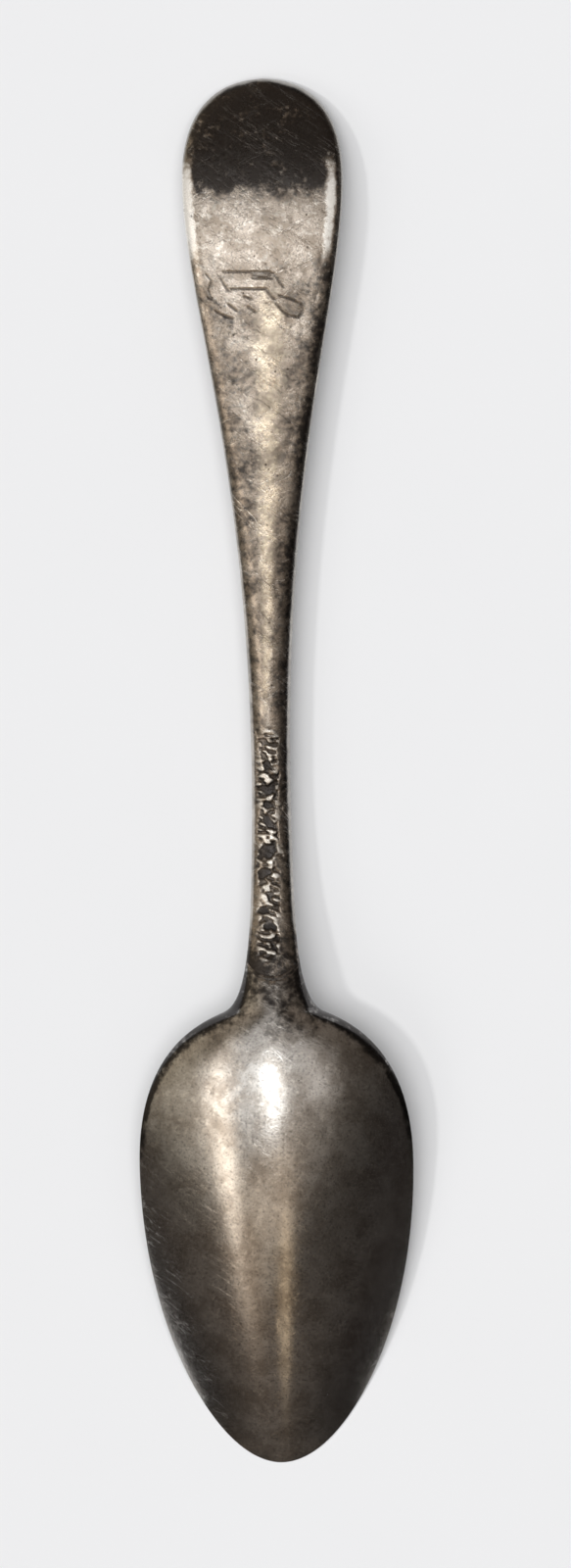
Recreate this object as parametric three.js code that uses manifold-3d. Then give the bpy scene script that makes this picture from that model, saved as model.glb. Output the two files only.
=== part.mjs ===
// A plain silver teaspoon, kept as a souvenir, made in two forged pieces joined by solder.
// It lies face down: +X runs across it, +Y towards the end of the handle, +Z up, in
// millimetres. It rests on the front of the bowl's rim and on the turned end of the handle.
// The origin is on the surface under it, halfway along it.

import * as THREE from 'three';
import { mergeVertices } from 'three/addons/utils/BufferGeometryUtils.js';
import Module from 'manifold-3d';

// Lengths along the spoon, one after another from the bowl's tip.
const tipToWidest = 31.8;
const widestToShoulder = 16.1;
const shoulderToNeck = 11.0;
const neckToWaist = 13.2;
const waistToBlade = 53.9;
const bladeToBroadest = 9.3;
const broadestToEnd = 10.7;

// Half the width at each of those places.
const bowlHalfWidth = 14.4;
const shoulderHalfWidth = 5.0;
const neckHalfWidth = 2.3;
const waistHalfWidth = 2.03;
const endHalfWidth = 8.45;

// Heights of the back above the surface that the spoon lies on.
const bowlHeight = 9.2;
const waistHeight = 4.5;
const bladeHeight = 5.0;
const endHeight = 1.5;
const tipToHighest = 33;

// The rim stands flat on the surface near the tip, then rises to the shoulders.
const flatRimLength = 6;
const rimRise = 5.0;

// Thickness of the metal.
const bowlWall = 0.95;
const waistThickness = 2.8;
const bladeThickness = 1.7;
const endThickness = 1.55;
const endEdgeRadius = 0.7;

// Width of the bowl's flat rim, from the outline to the hollow.
const rimWidth = 0.81;

// How much of the end's front has worn away flat where it stands on the surface.
const endWear = 0.55;

// The hollow of the bowl stops this far short of the shoulders.
const hollowToShoulder = 0.3;

// The slanted joint across the shank, measured where its middle meets the shank's middle.
const shoulderToJoint = 5.4;
const jointSlant = THREE.MathUtils.degToRad(52);
const solderThickness = 0.15;
const jointClearance = 0.04;

// Fineness of the faces, and of the search for a height.
const ringsAlong = 92;
const facesAround = 26;
const hollowRings = 40;
const hollowFacesAround = 24;
const halvings = 40;

// Places along the spoon, from the bowl's tip.
const widest = tipToWidest;
const shoulder = widest + widestToShoulder;
const neck = shoulder + shoulderToNeck;
const waist = neck + neckToWaist;
const blade = waist + waistToBlade;
const broadest = blade + bladeToBroadest;
const spoonLength = broadest + broadestToEnd;
const joint = shoulder + shoulderToJoint;

const { Manifold, Mesh } = await loadManifold();

async function loadManifold() {
  const wasm = await Module();
  wasm.setup();
  return wasm;
}

// A smooth path through knots. Each stretch lists the next knot and the two handles, given
// as shares of the stretch: how far across and how far along it each handle lies.
function smoothPath(start, stretches) {
  const path = new THREE.CurvePath();
  let from = new THREE.Vector2(...start);
  for (const { to, leave, arrive } of stretches) {
    const end = new THREE.Vector2(...to);
    const handle = ([across, along]) => new THREE.Vector2(
      THREE.MathUtils.lerp(from.x, end.x, across),
      THREE.MathUtils.lerp(from.y, end.y, along),
    );
    path.add(new THREE.CubicBezierCurve(from, handle(leave), handle(arrive), end));
    from = end;
  }
  return path;
}

// Half the outline in plan, as (half width, distance from the tip).
const outline = smoothPath([0, 0], [
  { to: [bowlHalfWidth, widest], leave: [0.45, 0], arrive: [1, 0.43] },
  { to: [shoulderHalfWidth, shoulder], leave: [0, 0.82], arrive: [0.85, 0.95] },
  { to: [neckHalfWidth, neck], leave: [0.78, 0.11], arrive: [0.93, 0.65] },
  { to: [waistHalfWidth, waist], leave: [0.55, 0.3], arrive: [1, 0.7] },
  { to: [endHalfWidth, broadest], leave: [0, 0.55], arrive: [1, 0.8] },
  { to: [0, spoonLength], leave: [0, 0.9], arrive: [0.7, 1] },
]);

// The line along the middle of the back, as (height, distance from the tip).
const ridge = smoothPath([0, 0], [
  { to: [bowlHeight, tipToHighest], leave: [0.27, 0.13], arrive: [0.98, 0.5] },
  { to: [waistHeight, waist], leave: [0, 0.44], arrive: [1, 0.5] },
  { to: [bladeHeight, blade], leave: [0, 0.3], arrive: [1, 0.72] },
  { to: [endHeight, spoonLength], leave: [0, 0.35], arrive: [0.25, 0.6] },
]);

// The line of the bowl's rim past its flat part, as (height, distance from the tip).
const risingRim = smoothPath([0, flatRimLength], [
  { to: [rimRise, shoulder], leave: [0.02, 0.1], arrive: [0.78, 0.62] },
]);

// The line along the middle of the front of the handle, as (height, distance from the tip).
const sole = smoothPath([rimRise, shoulder], [
  { to: [waistHeight - waistThickness, waist], leave: [0.1, 0.22], arrive: [1, 0.5] },
  { to: [bladeHeight - bladeThickness, blade], leave: [0, 0.32], arrive: [1, 0.68] },
  { to: [endHeight - endThickness - endWear, spoonLength], leave: [0, 0.35], arrive: [0.24, 0.6] },
]);

// Half the outline of the hollow in plan, and the line along its deepest part. Both run a
// little past the rim, so that the hollow opens cleanly through it.
const hollowPast = 0.15;
const hollowEnd = shoulder - hollowToShoulder;
const hollowHalfWidth = bowlHalfWidth - rimWidth;

const hollowOutline = smoothPath([0, rimWidth], [
  { to: [hollowHalfWidth, widest], leave: [0.45, 0], arrive: [1, 0.43] },
  { to: [0, hollowEnd], leave: [0, 0.8], arrive: [0.62, 1] },
]);

const hollowRidge = smoothPath([-hollowPast, rimWidth], [
  { to: [bowlHeight - bowlWall, tipToHighest], leave: [0.27, 0.13], arrive: [0.98, 0.5] },
  { to: [rimHeight(hollowEnd) - hollowPast, hollowEnd], leave: [0, 0.43], arrive: [0.3, 0.85] },
]);

// The height of a side-view path at a distance from the tip, found by halving.
function heightOn(path, along) {
  const curve = path.curves.find((c) => along <= c.v3.y) ?? path.curves.at(-1);
  let low = 0;
  let high = 1;
  for (let step = 0; step < halvings; step++) {
    const middle = (low + high) / 2;
    if (curve.getPoint(middle).y < along) low = middle;
    else high = middle;
  }
  return curve.getPoint(low).x;
}

function rimHeight(along) {
  return along < flatRimLength ? 0 : heightOn(risingRim, along);
}

function soleHeight(along) {
  return along < shoulder ? rimHeight(along) : heightOn(sole, along);
}

// The edge, where back and front meet: the rim of the bowl, then mid-thickness in the handle.
function edgeHeight(along) {
  const middle = (heightOn(ridge, along) + soleHeight(along)) / 2;
  const share = THREE.MathUtils.smoothstep(along, shoulder, neck);
  return THREE.MathUtils.lerp(rimHeight(along), middle, share);
}

// How square the sections are: domed in the bowl, oval in the stem, flat in the end.
const domedPower = 2.0;
const ovalPower = 1.0;
const flatPower = 0.56;

function sectionPower(along) {
  const toStem = THREE.MathUtils.smoothstep(along, widest, neck);
  const toEnd = THREE.MathUtils.smoothstep(along, waist, blade);
  const power = THREE.MathUtils.lerp(domedPower, ovalPower, toStem);
  return THREE.MathUtils.lerp(power, flatPower, toEnd);
}

// The outer edge of the broad end is rounded over in its last stretch.
function endRounding(along) {
  const past = Math.max(0, along - spoonLength + endEdgeRadius) / endEdgeRadius;
  return Math.sqrt(Math.max(0, 1 - past * past));
}

// One point of the whole spoon's skin: up is the sine around the ring, 1 on the back's
// middle line, 0 at the edge and -1 on the front's middle line.
function skinHeight(along, up) {
  const edge = edgeHeight(along);
  const reach = up > 0 ? heightOn(ridge, along) - edge : edge - soleHeight(along);
  const swell = Math.abs(up) ** sectionPower(along) * endRounding(along);
  return edge + Math.sign(up) * reach * swell;
}

function hollowHeight(along, up) {
  const edge = rimHeight(along) - hollowPast;
  if (up < 0) return edge + up * bowlHeight;
  return edge + (heightOn(hollowRidge, along) - edge) * up ** domedPower;
}

// A closed skin over a half outline: a sphere's rings, moved to the places along the
// outline and shaped by the height function. Its poles are the outline's two ends.
function loft(halfOutline, rings, around, heightAt) {
  const geometry = new THREE.SphereGeometry(1, around, rings);
  const places = halfOutline.getSpacedPoints(rings);
  const position = geometry.getAttribute('position');
  for (let i = 0; i < position.count; i++) {
    const polar = Math.acos(THREE.MathUtils.clamp(position.getY(i), -1, 1));
    const place = places[rings - Math.round((polar / Math.PI) * rings)];
    const turn = Math.atan2(position.getZ(i), position.getX(i));
    const onPole = Math.sin(polar) < 1e-6;
    const across = onPole ? 0 : Math.cos(turn) * place.x;
    const up = onPole ? 0 : snap(Math.sin(turn));
    position.setXYZ(i, snap(across), place.y - spoonLength / 2, heightAt(place.y, up));
  }
  return asSolid(geometry);
}

function snap(value) {
  return Math.abs(value) < 1e-6 ? 0 : value;
}

function asSolid(geometry) {
  geometry.deleteAttribute('normal');
  geometry.deleteAttribute('uv');
  const merged = mergeVertices(geometry);
  return new Manifold(new Mesh({
    numProp: 3,
    vertProperties: new Float32Array(merged.getAttribute('position').array),
    triVerts: new Uint32Array(merged.index.array),
  }));
}

function asGeometry(solid) {
  const { numProp, vertProperties, triVerts } = solid.getMesh();
  const corners = new THREE.InterleavedBuffer(new Float32Array(vertProperties), numProp);
  const geometry = new THREE.BufferGeometry();
  geometry.setAttribute('position', new THREE.InterleavedBufferAttribute(corners, 3, 0));
  geometry.setIndex(new THREE.BufferAttribute(new Uint32Array(triVerts), 1));
  return geometry;
}

// A block between two distances from the slanted joint, measured square to it. Its far
// sides lie well outside the spoon.
function jointBlock(from, to) {
  const reach = 4 * spoonLength;
  const block = new THREE.BoxGeometry(reach, to - from, reach);
  block.translate(0, (from + to) / 2, 0);
  block.rotateX(jointSlant);
  const middle = (heightOn(ridge, joint) + soleHeight(joint)) / 2;
  block.translate(0, joint - spoonLength / 2, middle);
  return asSolid(block);
}

// Everything under the surface that the spoon lies on, which wears the end's land flat.
function groundBlock() {
  const block = new THREE.BoxGeometry(4 * endHalfWidth, spoonLength, bowlHeight);
  block.translate(0, spoonLength / 2, -bowlHeight / 2);
  return asSolid(block);
}

function makeBowl(blank) {
  const hollow = loft(hollowOutline, hollowRings, hollowFacesAround, hollowHeight);
  const below = jointBlock(-spoonLength, -solderThickness / 2 - jointClearance);
  return blank.intersect(below).subtract(hollow);
}

function makeHandle(blank) {
  const above = jointBlock(solderThickness / 2 + jointClearance, spoonLength);
  return blank.intersect(above).subtract(groundBlock());
}

function makeSolderSeam(blank) {
  return blank.intersect(jointBlock(-solderThickness / 2, solderThickness / 2));
}

function smoothTarnishedSilver() {
  return new THREE.MeshStandardMaterial({ color: 0x8c867b, roughness: 0.36, metalness: 0.95 });
}

function scratchedSilver() {
  return new THREE.MeshStandardMaterial({ color: 0x857e72, roughness: 0.44, metalness: 0.95 });
}

function dullSolder() {
  return new THREE.MeshStandardMaterial({ color: 0x6a645b, roughness: 0.55, metalness: 0.9 });
}

function named(name, solid, material) {
  const mesh = new THREE.Mesh(asGeometry(solid), material);
  mesh.name = name;
  return mesh;
}

function buildSpoon() {
  const blank = loft(outline, ringsAlong, facesAround, skinHeight);
  const spoon = new THREE.Group();
  spoon.add(named('bowl', makeBowl(blank), smoothTarnishedSilver()));
  spoon.add(named('handle', makeHandle(blank), scratchedSilver()));
  spoon.add(named('solder_seam', makeSolderSeam(blank), dullSolder()));
  return spoon;
}

export default buildSpoon();
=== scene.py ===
"""A silver teaspoon lying face down on pale paper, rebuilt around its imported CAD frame."""

import math

import bmesh
import bpy
import numpy as np
from bpy.props import FloatProperty, FloatVectorProperty, IntProperty, PointerProperty
from mathutils import Matrix, Vector, noise


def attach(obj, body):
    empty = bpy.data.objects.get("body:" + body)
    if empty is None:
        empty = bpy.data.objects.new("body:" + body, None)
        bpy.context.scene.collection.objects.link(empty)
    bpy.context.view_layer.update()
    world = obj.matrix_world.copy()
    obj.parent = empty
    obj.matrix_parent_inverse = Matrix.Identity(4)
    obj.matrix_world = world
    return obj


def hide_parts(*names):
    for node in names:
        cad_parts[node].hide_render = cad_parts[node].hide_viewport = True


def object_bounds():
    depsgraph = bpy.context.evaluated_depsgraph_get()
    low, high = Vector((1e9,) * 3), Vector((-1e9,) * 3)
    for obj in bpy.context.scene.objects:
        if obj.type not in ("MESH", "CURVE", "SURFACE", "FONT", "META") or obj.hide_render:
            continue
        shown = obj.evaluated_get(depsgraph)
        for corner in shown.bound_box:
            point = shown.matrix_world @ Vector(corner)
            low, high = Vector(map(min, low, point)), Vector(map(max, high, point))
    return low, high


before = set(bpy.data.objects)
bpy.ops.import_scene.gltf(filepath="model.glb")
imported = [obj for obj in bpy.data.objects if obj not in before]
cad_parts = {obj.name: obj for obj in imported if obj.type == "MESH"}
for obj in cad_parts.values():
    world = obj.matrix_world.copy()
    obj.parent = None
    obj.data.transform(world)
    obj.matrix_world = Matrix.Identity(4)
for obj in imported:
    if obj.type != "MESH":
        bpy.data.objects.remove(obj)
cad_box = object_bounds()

bl_info = {
    "name": "Silver Teaspoon",
    "version": (1, 0, 0),
    "blender": (4, 5, 0),
    "location": "3D View > Sidebar > Spoon",
    "description": "Builds a tarnished silver teaspoon with an engraved ribbon and a struck stem",
    "category": "Add Mesh",
}

MM = 0.001
SHARP = math.radians(48)  # an edge folded more than this is shaded as a corner


# ---------------------------------------------------------------- sizes and colours


def length(name, millimetres, description, least=0.0):
    return FloatProperty(
        name=name, description=description, default=millimetres * MM, min=least,
        unit="LENGTH", precision=5,
    )


def angle(name, degrees, description):
    return FloatProperty(
        name=name, description=description, default=math.radians(degrees), subtype="ANGLE"
    )


def share(name, default, description):
    return FloatProperty(
        name=name, description=description, default=default, min=0.0, max=1.0, subtype="FACTOR"
    )


def tint(name, default, description):
    return FloatVectorProperty(
        name=name, description=description, default=default, size=3, min=0.0, max=1.0,
        subtype="COLOR",
    )


class SpoonSizes(bpy.types.PropertyGroup):
    """Lengths along the spoon, half widths across it and heights above the paper."""

    tip_to_widest: length("Tip to widest", 31.8, "From the bowl's tip to its widest place")
    widest_to_shoulder: length("Widest to shoulder", 16.1, "From the widest place to the shoulder")
    shoulder_to_neck: length("Shoulder to neck", 11.0, "From the shoulder to the neck")
    neck_to_waist: length("Neck to waist", 13.2, "From the neck to the slimmest place")
    waist_to_blade: length("Waist to blade", 53.9, "From the slimmest place to the highest")
    blade_to_broadest: length("Blade to broadest", 9.3, "From there to the end's widest place")
    broadest_to_end: length("Broadest to end", 10.7, "From there to the very end")
    bowl_half_width: length("Bowl half width", 14.4, "Half the bowl's greatest width")
    shoulder_half_width: length("Shoulder half width", 5.0, "Half the width at the shoulder")
    neck_half_width: length("Neck half width", 2.3, "Half the width at the neck")
    waist_half_width: length("Waist half width", 2.03, "Half the stem's least width")
    end_half_width: length("End half width", 8.45, "Half the handle end's width")
    bowl_height: length("Bowl height", 9.2, "Height of the bowl's back above the paper")
    waist_height: length("Waist height", 4.5, "Height of the stem's back at its slimmest")
    blade_height: length("Blade height", 5.0, "Height of the handle's back at its highest")
    end_height: length("End height", 1.5, "Height of the back at the very end")
    tip_to_highest: length("Tip to highest", 33.0, "From the bowl's tip to its highest place")
    flat_rim: length("Flat rim", 6.0, "Length of rim that lies on the paper")
    rim_rise: length("Rim rise", 5.0, "How far the rim has risen at the shoulder")
    bowl_wall: length("Bowl wall", 0.95, "Thickness of the bowl's metal")
    rim_width: length("Rim width", 0.81, "Width of the rim's flat edge")
    waist_thickness: length("Waist thickness", 2.8, "Thickness of the stem at its slimmest")
    blade_thickness: length("Blade thickness", 1.7, "Thickness of the handle at its highest")
    end_thickness: length("End thickness", 1.55, "Thickness of the handle at the very end")
    end_wear: length("End wear", 0.55, "Metal worn off the front of the end")
    hollow_to_shoulder: length("Hollow to shoulder", 0.3, "How far short of the shoulder it stops")
    shoulder_to_joint: length("Shoulder to joint", 5.4, "From the shoulder to the soldered joint")
    solder: length("Solder", 0.15, "Thickness of the solder in the joint")
    joint_gap: length("Joint gap", 0.04, "Space left on each side of the solder")
    joint_slant: angle("Joint slant", 52, "How far the joint leans over along the shank")
    rim_round: length("Rim rounding", 0.22, "Radius worn on the bowl's rim")
    edge_round: length("Edge rounding", 1.5, "Width of the rounding along the handle's edges")
    crown: share("Crown", 0.34, "Share of the handle's rise that is a gentle crown")
    engraving_depth: length("Engraving depth", 0.055, "Depth of the engraved ribbon")
    strike_depth: length("Strike depth", 0.16, "Depth of the struck band on the stem")


class SpoonFinish(bpy.types.PropertyGroup):
    """Colours of the metal and its tarnish."""

    # Also laid on the end's bevels as a painted reflection and on the struck band's raised bits as
    # painted highlights.
    silver: tint("Silver", (0.80, 0.77, 0.72), "Clean metal, where wear has brightened it")
    dull_silver: tint("Dull silver", (0.60, 0.59, 0.575), "Metal under a thin tarnish")
    tarnish: tint("Tarnish", (0.33, 0.305, 0.28), "Thick brown tarnish")
    # Also laid, as painted shade, over the handle's turned end, its sides and right edge, and the
    # bowl's shoulders.
    soot_and_shade: tint("Soot", (0.040, 0.037, 0.037), "Black tarnish in pits and cut lines")
    brown: tint("Brown silver", (0.32, 0.255, 0.195), "Metal under a thicker brown tarnish")
    # Laid only along the handle's crown, as a golden painted highlight.
    golden: tint("Golden silver", (0.84, 0.73, 0.57), "Rubbed metal under a thin golden tarnish")
    wear: share("Edge wear", 0.55, "How bright the rubbed edges are")


class SpoonStage(bpy.types.PropertyGroup):
    """The paper, the light and the camera."""

    paper: tint("Paper", (0.865, 0.865, 0.872), "The paper that the spoon lies on")
    camera_height: length("Camera height", 800, "Height of the camera above the paper", 0.05)
    view_length: length("View length", 165.5, "Length of paper that the view takes in")
    aim_across: length("Aim across", 1.41, "Where the view's middle lies across the spoon", -1.0)
    aim_along: length("Aim along", -1.41, "Where the view's middle lies along the spoon", -1.0)
    roll: angle("Roll", -0.83, "Turn of the camera about its own line of sight")
    lean: angle("Lean", 2.0, "How far the camera stands off to the spoon's right")
    seed: IntProperty(name="Seed", description="Start of every random draw", default=7)


# ---------------------------------------------------------------- the spoon's lines


def smooth_path(start, stretches, steps=240):
    """Points along smooth stretches, as (across, along). Each stretch has its end and two
    handles, given as shares of the stretch across and along it."""
    t = np.linspace(0, 1, steps + 1)[1:, None]
    here = np.array(start, float)
    points = [here[None]]
    for to, leave, arrive in stretches:
        end = np.array(to, float)
        first = here + (end - here) * leave
        second = here + (end - here) * arrive
        points.append(
            (1 - t) ** 3 * here
            + 3 * (1 - t) ** 2 * t * first
            + 3 * (1 - t) * t**2 * second
            + t**3 * end
        )
        here = end
    return np.concatenate(points)


def smoothstep(value, low, high):
    t = np.clip((value - low) / (high - low), 0, 1)
    return t * t * (3 - 2 * t)


def mix(low, high, t):
    return low + (high - low) * t


class SpoonShape:
    """The spoon's outline, side view and sections, in millimetres from the bowl's tip."""

    DOMED, OVAL = 2.0, 1.0  # powers of a section's rise, in the bowl and in the stem
    PAST = 0.15  # how far the hollow runs on below the rim, so that it cuts through cleanly

    def __init__(self, sizes):
        s = {name: getattr(sizes, name) / MM for name in SpoonSizes.__annotations__}
        self.s = s
        self.slant = sizes.joint_slant
        self.crown = sizes.crown
        self.widest = s["tip_to_widest"]
        self.shoulder = self.widest + s["widest_to_shoulder"]
        self.neck = self.shoulder + s["shoulder_to_neck"]
        self.waist = self.neck + s["neck_to_waist"]
        self.blade = self.waist + s["waist_to_blade"]
        self.broadest = self.blade + s["blade_to_broadest"]
        self.end = self.broadest + s["broadest_to_end"]
        self.joint = self.shoulder + s["shoulder_to_joint"]
        self.hollow_end = self.shoulder - s["hollow_to_shoulder"]
        self.trace()

    def trace(self):
        s = self.s
        rim_edge = s["rim_width"]
        self.outline = smooth_path((0, 0), [
            ((s["bowl_half_width"], self.widest), (0.45, 0), (1, 0.43)),
            ((s["shoulder_half_width"], self.shoulder), (0, 0.82), (0.85, 0.95)),
            ((s["neck_half_width"], self.neck), (0.78, 0.11), (0.93, 0.65)),
            ((s["waist_half_width"], self.waist), (0.55, 0.3), (1, 0.7)),
            ((s["end_half_width"], self.broadest), (0, 0.55), (1, 0.8)),
            ((0, self.end), (0, 0.9), (0.7, 1)),
        ])
        self.ridge = smooth_path((0, 0), [
            ((s["bowl_height"], s["tip_to_highest"]), (0.27, 0.13), (0.98, 0.5)),
            ((s["waist_height"], self.waist), (0, 0.44), (1, 0.5)),
            ((s["blade_height"], self.blade), (0, 0.3), (1, 0.72)),
            ((s["end_height"], self.end), (0, 0.35), (0.25, 0.6)),
        ])
        self.rising_rim = smooth_path((0, s["flat_rim"]), [
            ((s["rim_rise"], self.shoulder), (0.02, 0.1), (0.78, 0.62)),
        ])
        front_end = s["end_height"] - s["end_thickness"] - s["end_wear"]
        self.sole = smooth_path((s["rim_rise"], self.shoulder), [
            ((s["waist_height"] - s["waist_thickness"], self.waist), (0.1, 0.22), (1, 0.5)),
            ((s["blade_height"] - s["blade_thickness"], self.blade), (0, 0.32), (1, 0.68)),
            ((front_end, self.end), (0, 0.35), (0.24, 0.6)),
        ])
        self.hollow_outline = smooth_path((0, rim_edge), [
            ((s["bowl_half_width"] - rim_edge, self.widest), (0.45, 0), (1, 0.43)),
            ((0, self.hollow_end), (0, 0.8), (0.62, 1)),
        ])
        deepest = s["bowl_height"] - s["bowl_wall"]
        self.hollow_ridge = smooth_path((-self.PAST, rim_edge), [
            ((deepest, s["tip_to_highest"]), (0.27, 0.13), (0.98, 0.5)),
            ((self.rim(self.hollow_end) - self.PAST, self.hollow_end), (0, 0.43), (0.3, 0.85)),
        ])

    @staticmethod
    def on(path, along):
        return np.interp(along, path[:, 1], path[:, 0])

    def rim(self, along):
        return self.on(self.rising_rim, along)

    def front(self, along):
        return np.where(along < self.shoulder, self.rim(along), self.on(self.sole, along))

    def middle(self, along):
        return (self.on(self.ridge, along) + self.front(along)) / 2

    def edge(self, along):
        """The height where back and front meet, a little above the rim's flat land."""
        into_stem = smoothstep(along, self.shoulder, self.neck)
        land = self.rim(along) + self.s["rim_round"] * smoothstep(along, 0, 1.5)
        return mix(land, self.middle(along), into_stem)

    def hollow(self, across, along):
        """The height of the hollow's surface, or -1 outside it."""
        half = self.on(self.hollow_outline, along)
        inside = (along > self.hollow_outline[0, 1]) & (along < self.hollow_end)
        up = np.sqrt(np.clip(1 - (across / np.maximum(half, 1e-3)) ** 2, 0, 1))
        low = self.rim(along) - self.PAST
        height = low + (self.on(self.hollow_ridge, along) - low) * up**self.DOMED
        return np.where(inside & (np.abs(across) < half), height, -1.0)

    def mouth(self, along):
        """Half the width of the hollow where it opens through the rim."""
        half = self.on(self.hollow_outline, along)
        low = self.rim(along) - self.PAST
        rise = np.maximum(self.on(self.hollow_ridge, along) - low, 1e-3)
        cut = np.clip(self.PAST / rise, 0, 1) ** (2 / self.DOMED)
        inside = (along > self.hollow_outline[0, 1]) & (along < self.hollow_end)
        return np.where(inside, half * np.sqrt(1 - cut), 0.0)

    def to_edge(self, across, along):
        """Distance in plan from points to the outline."""
        points = np.column_stack([np.abs(across).ravel(), along.ravel()])
        line = self.outline[::3]
        a, b = line[:-1], line[1:]
        run = b - a
        square = np.maximum((run**2).sum(1), 1e-12)
        best = np.empty(len(points))
        batch = 4000
        for k in range(0, len(points), batch):
            p = points[k:k + batch, None, :]
            t = np.clip(((p - a) * run).sum(2) / square, 0, 1)
            gap = p - (a + t[..., None] * run)
            best[k:k + batch] = np.sqrt((gap**2).sum(2).min(1))
        return best.reshape(across.shape)

    def rise(self, across, half, along, to_edge):
        """How far a section has risen from its edge, from 0 there to 1 in the middle."""
        level = np.clip(1 - (across / np.maximum(half, 1e-6)) ** 2, 0, 1)
        power = mix(self.DOMED, self.OVAL, smoothstep(along, self.widest, self.neck))
        domed = np.sqrt(level) ** power
        inward = np.clip(to_edge / self.s["edge_round"], 0, 1)
        rounded = np.sqrt(np.clip(1 - (1 - inward) ** 2, 0, 1))
        bladed = (1 - self.crown) * rounded + self.crown * level
        return mix(domed, bladed, smoothstep(along, self.waist + 4, self.blade - 8))

    def rim_rise(self, across, half, along, to_edge):
        """The same for the front, whose bowl has a flat rim with a small rounding."""
        inward = np.clip(to_edge / self.s["rim_round"], 0, 1)
        flat = np.sqrt(np.clip(1 - (1 - inward) ** 2, 0, 1))
        stem = self.rise(across, half, along, to_edge)
        return mix(flat, stem, smoothstep(along, self.shoulder, self.neck))

    def rings(self, start, end, pitch):
        """Outline points between two distances from the tip, spaced as pitch(along) says."""
        pieces = 12
        fine = np.concatenate([
            np.linspace(a, b, pieces, endpoint=False)
            for a, b in zip(self.outline[:-1], self.outline[1:])
        ] + [self.outline[-1:]])
        fine = fine[(fine[:, 1] >= start) & (fine[:, 1] <= end)]
        step = np.hypot(*np.diff(fine, axis=0).T)
        along = (fine[1:, 1] + fine[:-1, 1]) / 2
        count = np.concatenate([[0], np.cumsum(step / pitch(along))])
        picks = np.linspace(0, count[-1], int(round(count[-1])) + 1)
        return np.column_stack([np.interp(picks, count, fine[:, k]) for k in (0, 1)])


# ---------------------------------------------------------------- cuts and knocks


def unevenness(across, along, size, seed):
    """Slow waves left by the hammer and the polishing, from about -1 to 1."""
    return np.array([
        noise.noise(Vector((x / size, y / (size * 1.6), seed)))
        for x, y in zip(across.ravel(), along.ravel())
    ]).reshape(across.shape)


def line_gap(across, along, line):
    """Distance in plan from points to a chain of straight runs."""
    best = np.full(across.shape, 1e3)
    for (ax, ay), (bx, by) in zip(line[:-1], line[1:]):
        rx, ry = bx - ax, by - ay
        t = np.clip(((across - ax) * rx + (along - ay) * ry) / (rx * rx + ry * ry), 0, 1)
        best = np.minimum(best, np.hypot(across - ax - t * rx, along - ay - t * ry))
    return best


# The engraved ribbon: a double line with a shaded bar in the middle, and a folded tail of
# short strokes at each end. Points are (across, distance from the tip) in millimetres.
RIBBON = [
    [(-4.2, 125.4), (0.7, 125.35)],
    [(-1.1, 125.2), (1.05, 125.15)],
    [(-1.1, 124.95), (1.05, 124.9)],
    [(-1.1, 124.7), (1.05, 124.65)],
    [(-3.4, 123.6), (0.4, 123.55)],
    [(1.05, 125.2), (1.6, 124.5), (2.1, 123.7)],
    [(0.4, 123.4), (0.8, 122.8), (1.25, 122.4)],
    [(1.25, 122.1), (1.9, 121.3), (2.6, 120.7), (3.7, 120.5)],
    [(1.7, 122.8), (2.8, 122.5), (3.95, 121.9)],
    [(3.95, 121.9), (4.2, 121.3), (3.7, 120.5)],
    [(-6.0, 125.2), (-5.4, 124.5)],
    [(-4.4, 124.6), (-3.7, 123.4)],
    [(-5.4, 124.5), (-5.75, 123.6), (-5.4, 122.5)],
    [(-5.9, 122.8), (-5.4, 122.5)],
    [(-5.05, 121.3), (-4.2, 120.8), (-3.3, 120.5)],
    [(-3.7, 122.0), (-2.8, 121.3)],
    [(-2.05, 122.8), (-1.2, 122.5)],
    [(-1.65, 121.7), (-0.8, 121.1)],
]


RIBBON_SPAN = (119.5, 126.5)
STROKE = (0.02, 0.14)  # a stroke is full depth up to the first distance, and ends at the second


def ribbon_cut(across, along):
    """Depth of the engraved ribbon, from 0 to 1."""
    cut = np.zeros(across.shape)
    near = (along > RIBBON_SPAN[0]) & (along < RIBBON_SPAN[1]) & (np.abs(across) < 7.5)
    x, y = across[near], along[near]
    deep = np.zeros(x.shape)
    for line in RIBBON:
        deep = np.maximum(deep, 1 - smoothstep(line_gap(x, y, line), *STROKE))
    cut[near] = deep
    return cut


# The struck band on the stem: a worn strip of short ragged bars, with deeper blots in it. Each
# blot is (its middle from the tip, its length, its half width, how far it is off the middle), in
# millimetres.
BAND = (53.6, 76.6)
BAND_FADE = 0.8
BLOTS = [
    (73.6, 0.9, 0.50, -0.15), (71.1, 1.5, 0.60, -0.30), (69.4, 1.0, 0.55, -0.20),
    (67.6, 1.6, 0.60, -0.35), (64.5, 2.5, 0.90, -0.40), (62.3, 1.1, 0.75, -0.70),
    (58.3, 1.0, 0.60, -0.75), (56.6, 0.9, 0.60, -0.30),
]


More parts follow.
